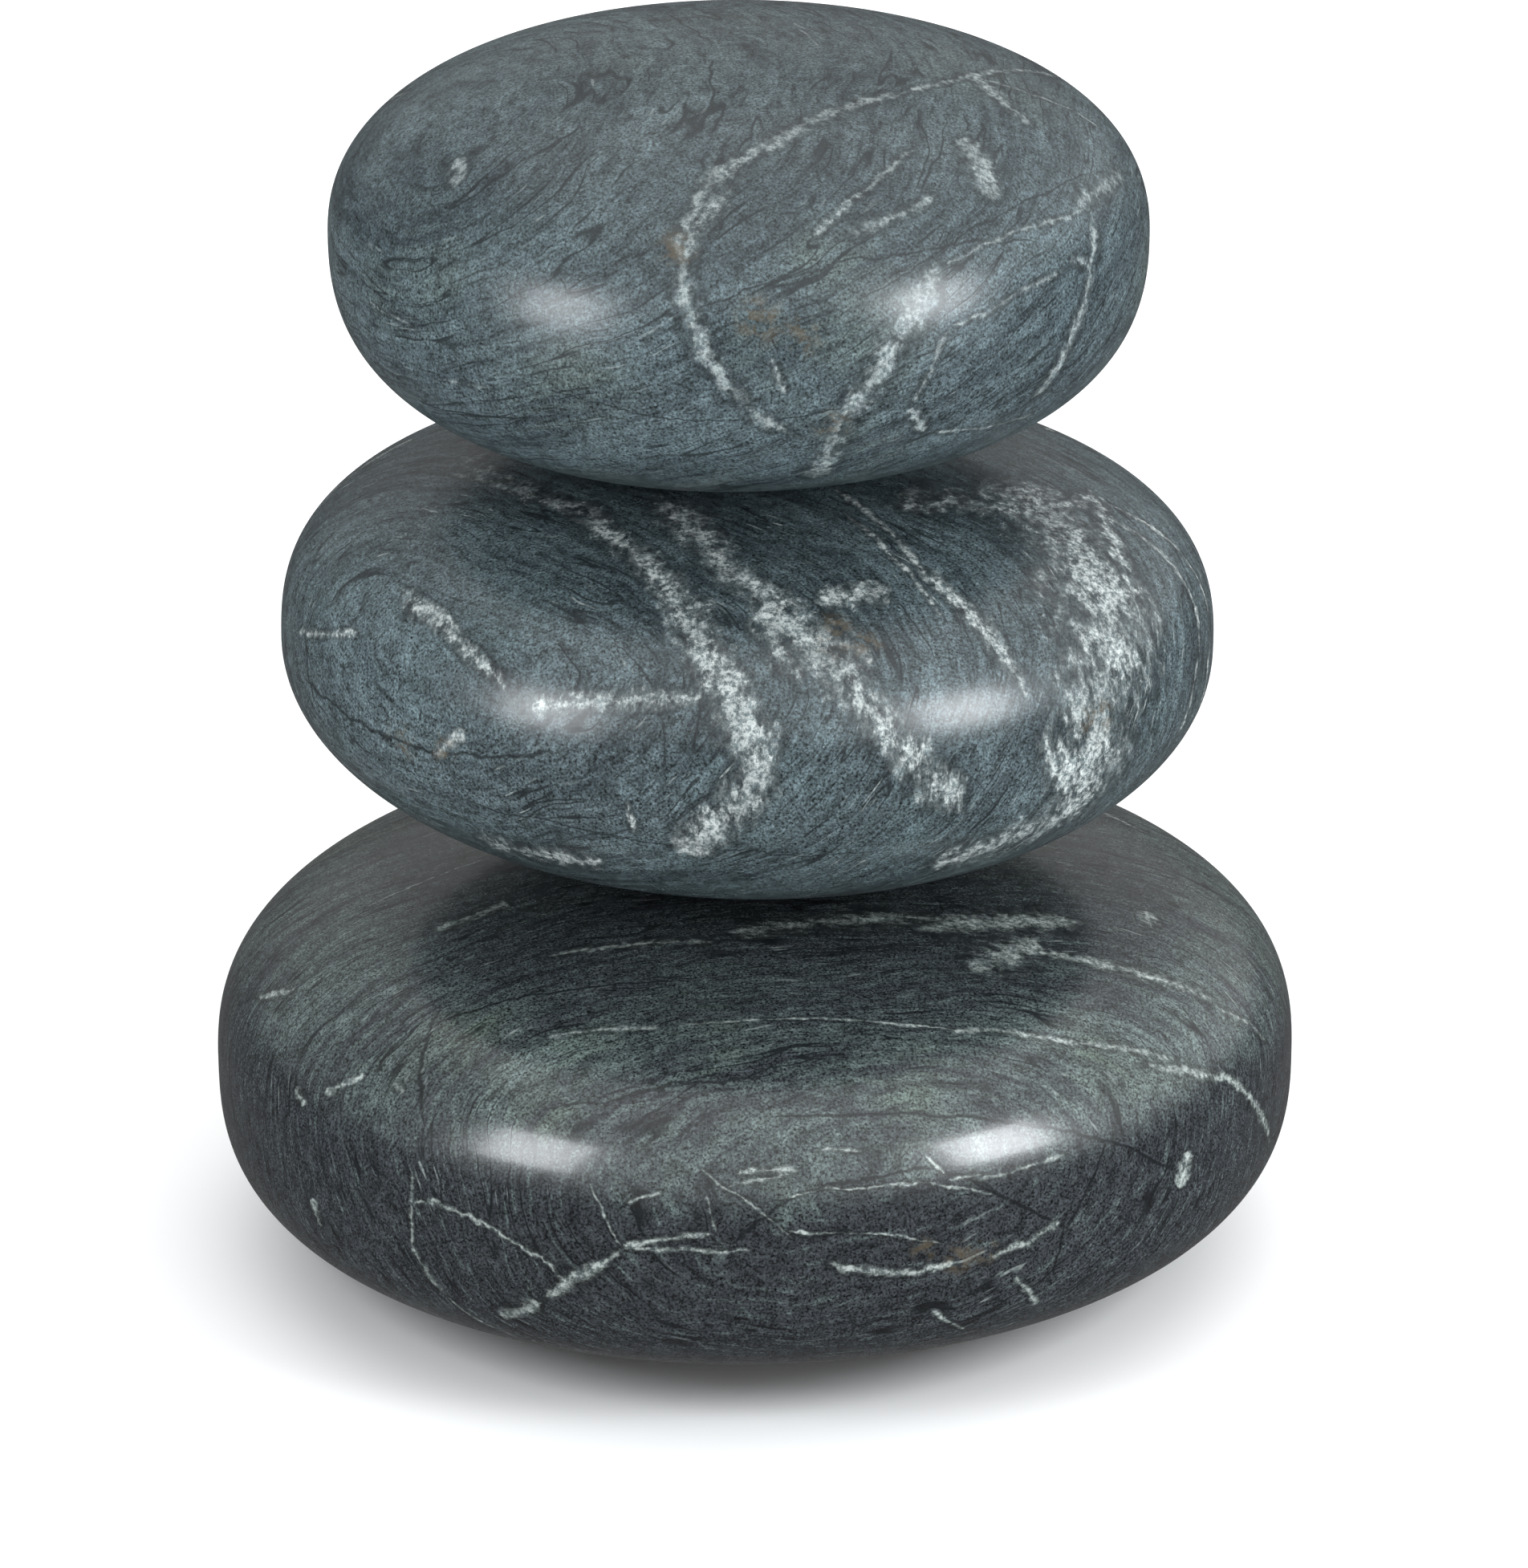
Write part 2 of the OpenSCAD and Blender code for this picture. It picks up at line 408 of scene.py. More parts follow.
class Rock(Graph):
    """The material of one stone, whose patterns all follow the same folding of its beds."""

    def __init__(self, name, stone, look):
        super().__init__(bpy.data.materials.new(name))
        self.stone = stone
        self.look = look
        self.p = self.millimetres(stone.centre)
        self.seeded = self.vector("ADD", self.p, look["seed"])
        self.bends = self.wander(self.seeded, size=16, reach=1.3, detail=2)
        folds = self.wander(self.seeded, size=75, reach=look["folding"])
        self.folded = self.vector("ADD", self.vector("ADD", self.p, folds), self.bends)
        self.across = direction(*look["beds"])
        depth = self.vector("DOT_PRODUCT", self.folded, self.across)
        self.stack = self.vector("SCALE", self.across, depth)

    def beds(self, size, thickness, detail, rough=0.55):
        """Noise of the given size along the beds, and of the given thickness across them."""
        squeeze = self.vector("SCALE", self.stack, size / thickness - 1)
        squeezed = self.vector("ADD", self.folded, squeeze)
        return self.noise(self.vector("ADD", squeezed, self.look["seed"]), size, detail, rough)

    def upended(self):
        """0 where the beds lie flat along the surface, where their finest marks would spread into blots."""
        flat_place = facing(self.stone, *self.look["beds"])
        return self.smooth(self.vector("DISTANCE", self.p, flat_place), 12, 34)

    def tone(self):
        """How light the ground of the rock is, from 0 to 1, with a painted lighter belt and painted shade
        above it on the bottom stone.
        """
        bands = self.smooth(self.beds(size=90, thickness=12, detail=3), 0.36, 0.64)
        layers = self.smooth(self.beds(size=26, thickness=2.4, detail=4, rough=0.68), 0.38, 0.64)
        bands = self.math("MULTIPLY", bands, self.look["banding"])
        layers = self.math("MULTIPLY", layers, 1 - self.look["banding"])
        tone = self.math("ADD", bands, layers)
        if "painted_light_from" not in self.look:
            return tone
        # Painted light and shade on a stone with belt heights. A paler belt from about the waist up stands
        # in for the reflection of the bright studio. A darker top near the stone above is painted shade and
        # reflection of that stone.
        height = self.vector("DOT_PRODUCT", self.folded, Vector((0, 0, 1)))
        painted_light = self.smooth(height, *self.look["painted_light_from"])
        painted_shade = self.line(self.smooth(height, *self.look["painted_shade_from"]), 0, 1, 1, self.look["painted_shade_share"])
        return self.math("MULTIPLY", self.math("MULTIPLY", tone, painted_light), painted_shade)

    def ground(self, grain):
        """The rock's colour between its veins."""
        look, tone = self.look, self.tone()
        colour = self.mix(tone, look["dark"], look["light"])
        tinted = self.smooth(self.noise(self.seeded, 38, 3), 0.5, 0.72)
        tinted = self.math("MULTIPLY", tinted, look["tinted"])
        colour = self.mix(self.math("MULTIPLY", tinted, tone), colour, look["tint"])
        strokes = self.beds(size=9, thickness=0.8, detail=3, rough=0.7)
        dark_strokes = self.math("MULTIPLY", self.smooth(strokes, 0.52, 0.68), 0.65)
        light_strokes = self.math("MULTIPLY", self.smooth(strokes, 0.46, 0.32), 0.5)
        colour = self.mix(dark_strokes, colour, look["crack"])
        colour = self.mix(light_strokes, colour, look["light"])
        mottle = self.line(self.noise(self.seeded, 3.2, 4, 0.72), 0.32, 0.68, 0.6, 1.42)
        colour = self.mix(1.0, colour, mottle, "MULTIPLY")
        speckle = self.line(grain, 0.3, 0.7, 1 - look["grainy"], 1 + look["grainy"])
        return self.mix(1.0, colour, speckle, "MULTIPLY")

    def nearness(self, warped, veins, widths):
        """How deep a place lies in any vein: 0 at its edge, its strength in its middle, negative outside.

        Each vein is (half-width on the surface, strength, its two or three places on the surface).
        """
        most = None
        for half_width, strength, *places in veins:
            normal, middle, reach, steepness = sheet_of(self.stone, places)
            normal /= half_width * max(steepness, LEAST_STEEPNESS)
            away = self.math("SUBTRACT", self.vector("DOT_PRODUCT", warped, normal), normal.dot(middle))
            away = self.math("ABSOLUTE", away)
            from_middle = self.vector("DISTANCE", self.p, middle)
            there = self.line(from_middle, FADE[0] * reach, FADE[1] * reach, strength, GONE)
            depth = self.math("SUBTRACT", self.math("MULTIPLY", there, widths), away)
            most = depth if most is None else self.math("MAXIMUM", most, depth)
        return most

    def whiteness(self, inside, crumbs, crystals, upended):
        """How white a place is: veins with a ragged, crumbly edge, the haze around them, and flecks."""
        look = self.look
        ragged = self.math("ADD", inside, self.line(crumbs, 0.3, 0.7, -look["ragged"], look["ragged"]))
        white = self.smooth(ragged, -0.3, 1.1)
        white = self.math("MULTIPLY", white, self.line(crystals, 0.32, 0.6, 0.4, 1.0))
        dusty = self.noise(self.vector("ADD", self.seeded, (22, 61, 40)), 10, 3, 0.6)
        white = self.math("MULTIPLY", white, self.line(dusty, 0.35, 0.6, 0.5, 1.0))
        flecks = self.smooth(self.beds(size=9, thickness=0.75, detail=1), 0.66, 0.74)
        clustered = self.smooth(self.noise(self.seeded, 22, 2), 0.5, 0.66)
        flecks = self.math("MULTIPLY", flecks, self.math("MULTIPLY", upended, clustered))
        white = self.math("MAXIMUM", white, self.math("MULTIPLY", flecks, look["flecked"]))
        haze = self.math("MULTIPLY", self.smooth(inside, -0.9, 0.4), self.smooth(crumbs, 0.36, 0.64))
        return self.math("MAXIMUM", white, self.math("MULTIPLY", haze, look["hazy"]))

    def darkness(self, warped, inside, crumbs, upended):
        """How dark a place is: hair-thin seams along the beds, the edges of veins, and cracks."""
        seams = self.math("SUBTRACT", self.beds(size=48, thickness=4.2, detail=1.5), 0.5)
        seams = self.math("ADD", self.math("ABSOLUTE", seams), self.line(upended, 0, 1, 0.05, 0))
        broken = self.smooth(self.noise(self.seeded, 14, 2), 0.44, 0.56)
        seams = self.math("MULTIPLY", self.smooth(seams, 0.022, 0.004), broken)
        edges = self.math("MULTIPLY", self.smooth(inside, -1.6, -0.5), self.smooth(crumbs, 0.62, 0.45))
        dark = self.math("MAXIMUM", self.math("MULTIPLY", seams, 0.85), self.math("MULTIPLY", edges, 0.6))
        split = self.smooth(self.nearness(warped, self.look["cracks"], 1.0), -0.6, 0.5)
        return self.math("MAXIMUM", dark, self.math("MULTIPLY", split, 0.8))

    def rusted(self, colour, warped):
        """The colour with its small rust stains."""
        patchy = self.smooth(self.noise(self.seeded, 2.4, 3), 0.42, 0.62)
        for place, radius in self.look["rust"]:
            spot = Vector(self.stone.turn @ self.stone.point(*place))
            near = self.smooth(self.vector("DISTANCE", warped, spot), radius, radius * 0.2)
            stain = self.math("MULTIPLY", near, patchy)
            colour = self.mix(self.math("MULTIPLY", stain, 0.45), colour, RUST)
        return colour

    def polished(self, colour, white, dark, grain):
        """The finished material: its polish varies over centimetres, and its honing marks run level."""
        look = self.look
        honed = self.noise(self.vector("MULTIPLY", self.p, (1.0, 1.0, 3.5)), 1.6, 3, 0.7)
        uneven = self.noise(self.seeded, 9, 3)
        rough = self.line(uneven, 0.3, 0.7, look["rough"] - 0.035, look["rough"] + 0.035)
        rough = self.math("ADD", rough, self.math("MULTIPLY", self.math("SUBTRACT", honed, 0.5), 0.16))
        rough = self.math("ADD", rough, self.math("MULTIPLY", white, 0.06), clamp=True)
        relief = self.math("ADD", self.math("MULTIPLY", grain, 0.6), self.math("MULTIPLY", honed, 0.4))
        relief = self.math("SUBTRACT", relief, self.math("MULTIPLY", dark, 0.5))
        return self.surface(colour, rough, relief, look["relief"],
                            Coat_Weight=look["coat"], Coat_Roughness=0.1)

    def finished(self):
        """The whole material, from its places to its polish."""
        look = self.look
        upended = self.upended()
        grain = self.noise(self.seeded, 0.55, 2, 0.7)
        jagged = self.wander(self.seeded, size=2.6, reach=look["jagged"], detail=2)
        bent = self.vector("ADD", self.p, self.vector("SCALE", self.bends, look["wobble"]))
        warped = self.vector("ADD", bent, jagged)
        widths = self.noise(self.vector("ADD", self.seeded, (70, 4, 8)), 7, 3, 0.6)
        inside = self.nearness(warped, look["veins"], self.line(widths, 0.3, 0.7, 0.5, 1.5))
        crumbs = self.noise(self.vector("MULTIPLY", self.seeded, look["drawn"]), look["crumb"], 5, 0.74)
        crystals = self.noise(self.vector("ADD", self.p, (31, 7, 3)), 1.2, 3, 0.8)
        white = self.whiteness(inside, crumbs, crystals, upended)
        dark = self.darkness(warped, inside, crumbs, upended)

        colour = self.mix(dark, self.ground(grain), look["crack"])
        mineral = self.mix(self.smooth(crystals, 0.36, 0.62), look["grey"], look["white"])
        colour = self.mix(white, colour, mineral)
        return self.polished(self.rusted(colour, warped), white, dark, grain)


# Each look holds, in millimetres where it is a length:
#   seed: moves its noise; beds: direction across the beds (around, up); folding: how far they fold
#   wobble, jagged: how far veins stray; banding: share of the broad bands in the tone
#   tinted: strength of the second tint; crumb, drawn, ragged: size, stretch and depth of vein edges
#   flecked, hazy: strength of flecks and of the haze at veins; grainy: contrast of the finest grain
#   rough, relief, coat: of the polish
#   painted_light_from, painted_shade_from: heights between which a paler belt of painted light
#   (the reflected bright studio) begins and ends; painted_shade_share: its tone above that,
#   painted shade and reflection of the stone above
#   veins, cracks: (half-width, strength, places on the surface), each place (around, up) in degrees
#   rust: (place, radius) of each stain

TOP_LOOK = dict(
    seed=(40, 10, 70), beds=(-75, 62), folding=7, wobble=1.0, jagged=0.45, banding=0.45,
    dark=(0.030, 0.043, 0.049), light=(0.074, 0.103, 0.112), crack=(0.010, 0.014, 0.016),
    tint=(0.066, 0.086, 0.07), tinted=0.6, grey=(0.11, 0.142, 0.15), white=(0.31, 0.355, 0.355),
    crumb=2.4, drawn=(1, 1, 0.8), ragged=0.85, flecked=0.45, hazy=0.22, rough=0.32, relief=0.024,
    coat=0.0, grainy=0.95,
    veins=[
        # the long arc, and its way back over the right of the stone
        (1.7, 1.0, (14, 55), (-3, 42), (-7, 18)),
        (1.7, 1.0, (-7, 22), (-6, 5), (9, -20)),
        (1.5, 0.9, (42, 61), (22, 58), (4, 48)),
        (1.0, 0.85, (105, 36), (78, 56), (40, 60)),
        (0.8, 0.6, (85, 30), (73, 58)),
        # the slanting vein below it
        (2.2, 1.05, (29, 17), (14, -16)),
        (2.2, 0.95, (14, -14), (13, -41)),
        # right side
        (2.0, 0.85, (78, 20), (57, 22)),
        (0.6, 0.8, (62, 21), (28, 17)),
        (1.8, 0.95, (76, 59), (64, 42)),
        (2.8, 0.95, (47, 46), (42, 29)),
        (1.5, 0.9, (61, 18), (47, -23)),
        (1.2, 0.8, (58, 4), (52, 10)),
        (0.6, 0.8, (51, 8), (29, 1)),
        (0.7, 0.75, (29, 1), (24, -14)),
        (1.3, 0.85, (24, -14), (28, -23)),
        (0.7, 0.65, (28, -23), (52, -29)),
        (1.3, 0.8, (33, 33), (16, 26)),
        (0.7, 0.7, (36, 47), (14, 30)),
        # flecks
        (1.8, 0.85, (-54, 38), (-49, 30)),
        (0.9, 0.8, (11, 26), (18, 33)),
        (0.8, 0.8, (4, -1), (7, -8)),
        (0.5, 0.6, (-62, -2), (-49, -3)),
        (0.6, 0.5, (-47, -14), (-35, -12)),
        # back
        (0.9, 0.9, (150, 25), (172, 20), (195, -5)),
        (1.6, 0.95, (-150, 50), (-120, 20), (-105, -25)),
        (0.8, 0.8, (-170, -10), (-140, -5), (-115, -20)),
        (0.9, 0.8, (120, 0), (135, 30), (160, 60)),
        (1.8, 0.85, (165, 40), (178, 22)),
        (0.6, 0.8, (-140, 30), (-160, 5), (-178, -25)),
        (1.1, 0.8, (110, 12), (131, -6)),
        (0.7, 0.8, (140, -8), (158, -24)),
        (1.3, 0.75, (-95, 40), (-108, 20)),
        (0.6, 0.75, (-90, 14), (-112, -2), (-128, -24)),
    ],
    cracks=[
        (0.25, 0.8, (50, 14), (20, 20), (-2, 12)),
        (0.25, 0.8, (70, 26), (40, 24), (22, 14)),
        (0.2, 0.7, (-30, -8), (0, -14), (20, -10)),
        (0.2, 0.7, (30, -12), (40, -2), (52, 12)),
    ],
    rust=[((13, -17), 6), ((3, 6), 8), ((9, 2), 6), ((-8, 24), 6)],
)

MIDDLE_LOOK = dict(
    seed=(15, 65, 25), beds=(-42, 30), folding=6, wobble=1.1, jagged=0.55, banding=0.45,
    dark=(0.030, 0.042, 0.047), light=(0.076, 0.104, 0.113), crack=(0.009, 0.012, 0.014),
    tint=(0.05, 0.083, 0.086), tinted=0.4, grey=(0.13, 0.165, 0.17), white=(0.47, 0.51, 0.5),
    crumb=2.8, drawn=(1, 0.8, 0.4), ragged=1.35, flecked=0.55, hazy=0.42, rough=0.29, relief=0.018,
    coat=0.0, grainy=1.0,
    veins=[
        # left arc, down to its bright foot
        (1.5, 0.8, (-82, 57), (-62, 63), (-41, 65)),
        (3.0, 0.8, (-42, 65), (-24, 58), (-8, 42)),
        (3.6, 0.85, (-12, 48), (-3, 22)),
        (3.8, 1.1, (-4, 29), (2, 3)),
        (3.4, 1.05, (3, 6), (-8, -18)),
        # broad slanting band
        (3.6, 0.8, (-29, 74), (-4, 55), (7, 37)),
        (4.6, 1.1, (1, 46), (14, 22)),
        (3.4, 0.85, (11, 27), (26, -7)),
        (2.3, 1.05, (10, 45), (23, 47)),
        # thin double line
        (0.9, 0.85, (32, 77), (30, 49)),
        (1.6, 0.95, (30, 52), (35, 20)),
        (0.8, 0.75, (25, 70), (28, 40)),
        # the white cloud on the right
        (9.5, 0.65, (75, 66), (60, 42), (52, 22)),
        (11.0, 0.85, (58, 38), (50, 14), (40, -14)),
        (5.5, 0.7, (50, -8), (38, -20), (24, -28)),
        (5.0, 0.4, (70, 55), (62, 60), (40, 72)),
        (2.0, 0.9, (84, 51), (64, 35)),
        (0.9, 0.8, (82, 35), (80, 10), (70, -20)),
        (0.8, 0.75, (76, 38), (74, 15), (64, -12)),
        # left side
        (1.5, 0.95, (-28, 13), (-4, 21)),
        (1.4, 0.9, (-54, 33), (-30, 18)),
        (0.8, 0.85, (-72, 7), (-56, 17)),
        (1.3, 0.85, (-40, -1), (-35, 5)),
        (0.7, 0.7, (-14, -2), (-13, -12)),
        (4.0, 0.7, (-38, -27), (-18, -24)),
        (3.0, 0.4, (-90, 60), (-68, 64), (-45, 66)),
        # back
        (2.0, 0.95, (150, 60), (160, 20), (150, -30)),
        (1.6, 0.85, (-160, 50), (-145, 10), (-120, -30)),
        (1.0, 0.85, (120, 30), (140, 5), (170, -15)),
        (7.0, 0.65, (-170, 40), (-155, 10), (-150, -25)),
        (1.2, 0.9, (118, 50), (132, 30)),
        (0.7, 0.85, (172, 30), (-172, 8), (-170, -24)),
        (1.6, 0.85, (-112, 46), (-98, 24)),
        (0.6, 0.85, (-95, 5), (-118, 2), (-140, -12)),
        (2.4, 0.8, (105, -8), (125, -22)),
    ],
    cracks=[
        (0.4, 0.9, (-71, 1), (-45, 0), (-22, 4)),
        (0.3, 0.8, (-68, 12), (-64, -4), (-50, -20)),
        (0.25, 0.8, (-40, -10), (-10, -14), (14, -18)),
        (0.25, 0.8, (-20, 34), (-12, 20), (-10, 2)),
        (0.3, 0.8, (45, 40), (52, 10), (44, -20)),
    ],
    rust=[((12, 36), 7), ((16, 33), 5), ((46, 4), 7), ((-45, 0), 6), ((-38, 1), 5)],
)

BOTTOM_LOOK = dict(
    seed=(75, 30, 5), beds=(10, 22), folding=7, wobble=0.8, jagged=0.35, banding=0.4,
    dark=(0.024, 0.028, 0.032), light=(0.08, 0.107, 0.102), crack=(0.004, 0.005, 0.006),
    # the belt heights paint light and shade: a paler belt for the reflected bright studio, and a darker top
    # for the middle stone's shade and reflection
    tint=(0.056, 0.078, 0.056), tinted=0.8, painted_light_from=(9, 23), painted_shade_from=(33, 44), painted_shade_share=0.28,
    grey=(0.11, 0.145, 0.14), white=(0.40, 0.45, 0.43),
    crumb=2.0, drawn=(0.5, 1, 1), ragged=0.75, flecked=0.45, hazy=0.2, rough=0.24, relief=0.012,
    coat=0.2, grainy=1.15,
    veins=[
        # the long broken line over the shoulder
        (0.8, 0.75, (-28, 43), (-12, 49)),
        (0.5, 0.7, (-12, 49), (12, 50), (28, 44)),
        (0.8, 0.95, (24, 46), (40, 36), (53, 22)),
        (1.0, 1.0, (54, 19), (61, 10), (71, -7)),
        # green-white patch near the middle stone
        (3.0, 0.65, (-8, 70), (25, 72), (45, 67)),
        (4.2, 0.8, (36, 68), (64, 55)),
        (5.0, 0.8, (36, 56), (54, 57)),
        (2.0, 0.7, (50, 55), (58, 44), (66, 26)),
        (1.0, 0.6, (65, 27), (71, 12)),
        (1.5, 0.6, (-40, 59), (-26, 66), (-7, 69)),
        (2.0, 0.6, (-61, 55), (-61, 67)),
        # below the right highlight
        (0.8, 1.0, (-2, 16), (5, 17)),
        (0.5, 0.8, (-3, 13), (4, 16)),
        (0.5, 0.85, (18, 18), (20, 13)),
        (0.5, 0.85, (20, 12), (24, 12)),
        (0.6, 0.85, (23, 11), (34, 12)),
        (0.4, 0.7, (3, 11), (14, 12), (26, 6)),
        (0.4, 0.7, (3, 4), (11, 3), (20, 0)),
        (0.9, 1.05, (7, 0), (14, -2), (21, -2)),
        (0.8, 1.0, (24, -2), (33, 0)),
        (0.8, 0.9, (27, -6), (31, -18)),
        (0.7, 0.8, (18, -11), (23, -23)),
        (2.2, 0.95, (49, -1), (51, 3)),
        (0.5, 0.8, (6, 21), (12, 21)),
        # jagged branches at the lower left
        (1.6, 0.85, (-28, -17), (-22, -9)),
        (1.1, 1.0, (-22, -8), (-13, 1)),
        (0.7, 0.95, (-14, 1), (-4, 4)),
        (0.6, 0.85, (-13, 1), (0, 1)),
        (0.7, 0.9, (-35, 2), (-28, 1), (-19, -5)),
        (0.7, 0.75, (-37, 8), (-37, -4)),
        (1.1, 0.8, (-37, -3), (-34, -14)),
        (0.6, 0.7, (-34, -14), (-29, -25)),
        (0.35, 0.85, (-17, 13), (-13, 1)),
        (0.5, 0.95, (-13, 9), (-9, 12)),
        (0.4, 0.85, (-6, 18), (4, 3)),
        (0.4, 0.85, (-5, 12), (-4, 4)),
        # flecks
        (0.8, 0.95, (-52, 16), (-47, 24)),
        (1.0, 0.95, (-43, 25), (-41, 23)),
        (1.4, 0.9, (-57, 14), (-54, 12)),
        (1.4, 0.85, (-52, -2), (-51, -8)),
        (0.4, 0.8, (-78, 49), (-87, 68)),
        (1.0, 0.85, (-74, 23), (-68, 31)),
        (2.0, 0.85, (71, 46), (76, 48)),
        # back
        (0.9, 0.95, (120, 30), (150, 10), (175, -15)),
        (0.7, 0.9, (-170, 40), (-140, 15), (-120, -10)),
        (0.6, 0.8, (95, 10), (120, -5), (150, -20)),
        (2.2, 0.7, (160, 50), (-170, 45), (-140, 50)),
        (0.4, 0.85, (170, 30), (-172, 4)),
        (0.9, 0.9, (138, 26), (150, 34)),
        (0.5, 0.9, (-160, 22), (-144, 34)),
        (1.2, 0.85, (-128, 2), (-118, -10)),
        (0.4, 0.85, (-110, 20), (-96, 2), (-90, -20)),
        (1.4, 0.8, (108, 44), (120, 52)),
    ],
    cracks=[
        (0.35, 1.0, (3, 10), (11, 14), (27, 5)),
        (0.35, 1.0, (22, 12), (34, -1)),
        (0.35, 1.0, (39, 12), (33, -1)),
        (0.3, 0.9, (33, 0), (32, -9)),
        (0.35, 0.9, (0, 29), (23, 25), (39, 12)),
        (0.35, 0.9, (39, 12), (50, 0)),
        (0.5, 0.9, (-45, 44), (-41, 31), (-38, 21)),
        (0.35, 0.9, (-44, 37), (-31, 53), (-15, 59)),
        (0.35, 0.9, (-13, 35), (-2, 38), (6, 41)),
        (0.3, 0.9, (-25, 27), (-14, 33), (-6, 38)),
    ],
    rust=[((21, -1), 5), ((24, -1), 4), ((17, 0), 4)],
)


# ---------------------------------------------------------------- the small parts

def steel():
    """Turned bar, with fine rings round it and a few dull smears."""
    g = Graph(bpy.data.materials.new("turned_steel"))
    p = g.millimetres()
    rings = g.noise(g.vector("MULTIPLY", p, (0.25, 0.25, 9.0)), 1.0, 4, 0.7)
    smear = g.noise(p, 3.5, 3)
    colour = g.mix(rings, (0.46, 0.46, 0.47), (0.68, 0.68, 0.67))
    colour = g.mix(g.math("MULTIPLY", g.smooth(smear, 0.55, 0.75), 0.35), colour, (0.34, 0.33, 0.31))
    rough = g.line(smear, 0.3, 0.7, 0.24, 0.42)
    return g.surface(colour, rough, rings, 0.02, Metallic=1.0)


def resin():
    """Cloudy amber epoxy with small bubbles."""
    g = Graph(bpy.data.materials.new("bonding_resin"))
    p = g.millimetres()
    cloud = g.noise(p, 2.2, 4, 0.6)
    bubbles = g.node("ShaderNodeTexVoronoi")
    g.put(p, bubbles.inputs["Vector"])
    bubbles.inputs["Scale"].default_value = 0.9
    pit = g.smooth(bubbles.outputs["Distance"], 0.22, 0.1)
    colour = g.mix(cloud, (0.5, 0.42, 0.24), (0.72, 0.66, 0.47))
    colour = g.mix(g.math("MULTIPLY", pit, 0.5), colour, (0.3, 0.24, 0.13))
    return g.surface(colour, g.line(cloud, 0.3, 0.7, 0.3, 0.5), g.math("SUBTRACT", cloud, pit), 0.15)


def rubber():
    """Black rubber with a faint grey bloom."""
    g = Graph(bpy.data.materials.new("washer_rubber"))
    p = g.millimetres()
    bloom = g.noise(p, 4.0, 4, 0.6)
    grit = g.noise(p, 0.35, 2, 0.6)
    colour = g.mix(bloom, (0.012, 0.012, 0.013), (0.034, 0.033, 0.032))
    return g.surface(colour, g.line(bloom, 0.3, 0.7, 0.62, 0.8), grit, 0.04)


def cork():
    """Pressed granules of cork, about 2.5 mm across, with dark specks."""
    g = Graph(bpy.data.materials.new("pressed_cork"))
    p = g.millimetres()
    cells = g.node("ShaderNodeTexVoronoi")
    g.put(g.vector("ADD", p, g.wander(p, 2.0, 0.5)), cells.inputs["Vector"])
    cells.inputs["Scale"].default_value = 0.42
    tone = g.node("ShaderNodeSeparateColor")
    g.put(cells.outputs["Color"], tone.inputs["Color"])
    colour = g.mix(tone.outputs["Red"], (0.2, 0.105, 0.05), (0.46, 0.28, 0.15))
    colour = g.mix(g.smooth(g.noise(p, 0.8, 3), 0.58, 0.7), colour, (0.09, 0.045, 0.022))
    gaps = g.smooth(cells.outputs["Distance"], 0.3, 0.75)
    return g.surface(colour, g.line(gaps, 0, 1, 0.75, 0.92), g.math("SUBTRACT", 1.0, gaps), 0.25)


def give(node, material):
    """A CAD node's own finish."""
    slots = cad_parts[node].data.materials
    slots.clear()
    slots.append(material)


# ---------------------------------------------------------------- putting the object together

def z_of(node):
    """The heights of a CAD node's underside and top."""
    low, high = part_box(node)
    return low.z / MM, high.z / MM


def dowel_hole(washer, dowel_span):
    """The seat and hole in the top of a stone: (height, radius, depth)."""
    return washer[0], DOWEL_HOLE_R, washer[0] - dowel_span[0] + RESIN_UNDER


def socket(washer, dowel_span):
    """The seat and hole in the underside of the stone above: (height, radius, depth)."""
    return washer[1], SOCKET_R, dowel_span[1] - washer[1] + SOCKET_SPARE


lower_washer = z_of("lower_washer")
upper_washer = z_of("upper_washer")
lower_dowel = z_of("lower_dowel")
upper_dowel = z_of("upper_dowel")
cork_top = z_of("base_cork")[1]

bottom = Stone("bottom_stone", lower_washer[0] + SEAT_CUT - SHAPES["bottom_stone"]["up"])
middle = Stone("middle_stone", upper_washer[0] + SEAT_CUT - SHAPES["middle_stone"]["up"])
top = Stone("top_stone", upper_washer[1] - SEAT_CUT + SHAPES["top_stone"]["down"])

bottom_piece = build_stone(bottom, upper_seat=dowel_hole(lower_washer, lower_dowel), flat_z=cork_top)
middle_piece = build_stone(middle, upper_seat=dowel_hole(upper_washer, upper_dowel),
                           lower_seat=socket(lower_washer, lower_dowel))
top_piece = build_stone(top, lower_seat=socket(upper_washer, upper_dowel))

stones = {
    "bottom_stone": (bottom_piece, bottom, BOTTOM_LOOK, "dark_stone"),
    "middle_stone": (middle_piece, middle, MIDDLE_LOOK, "veined_stone"),
    "top_stone": (top_piece, top, TOP_LOOK, "green_stone"),
}
for node, (piece, stone, look, slot) in stones.items():
    piece.data.materials.append(Rock(slot, stone, look).finished())
    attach(piece, node)
    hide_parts(node)

dowel_steel, bond, washer_rubber = steel(), resin(), rubber()
for place in ("lower", "upper"):
    give(place + "_dowel", dowel_steel)
    give(place + "_resin", bond)
    give(place + "_washer", washer_rubber)
give("base_cork", cork())


# ---------------------------------------------------------------- studio

COOL = (0.93, 0.97, 1.0)
WHITE = (1.0, 1.0, 1.0)
STACK_MIDDLE = (0, 0, 0.14)
FLOOR_HALF = 9.0      # half the floor's side, m

CAMERA_BACK = 1.44    # camera's distance in front of the stack's axis, m
CAMERA_UP = 0.655
CAMERA_ASIDE = 0.002
CAMERA_REACH = 100    # nothing beyond this is rendered, m
LOOK_DOWN = 20.87     # degrees
LENS = 160.2          # focal length in mm, on the sensor below
SENSOR = 36.0         # mm along the frame's longer side


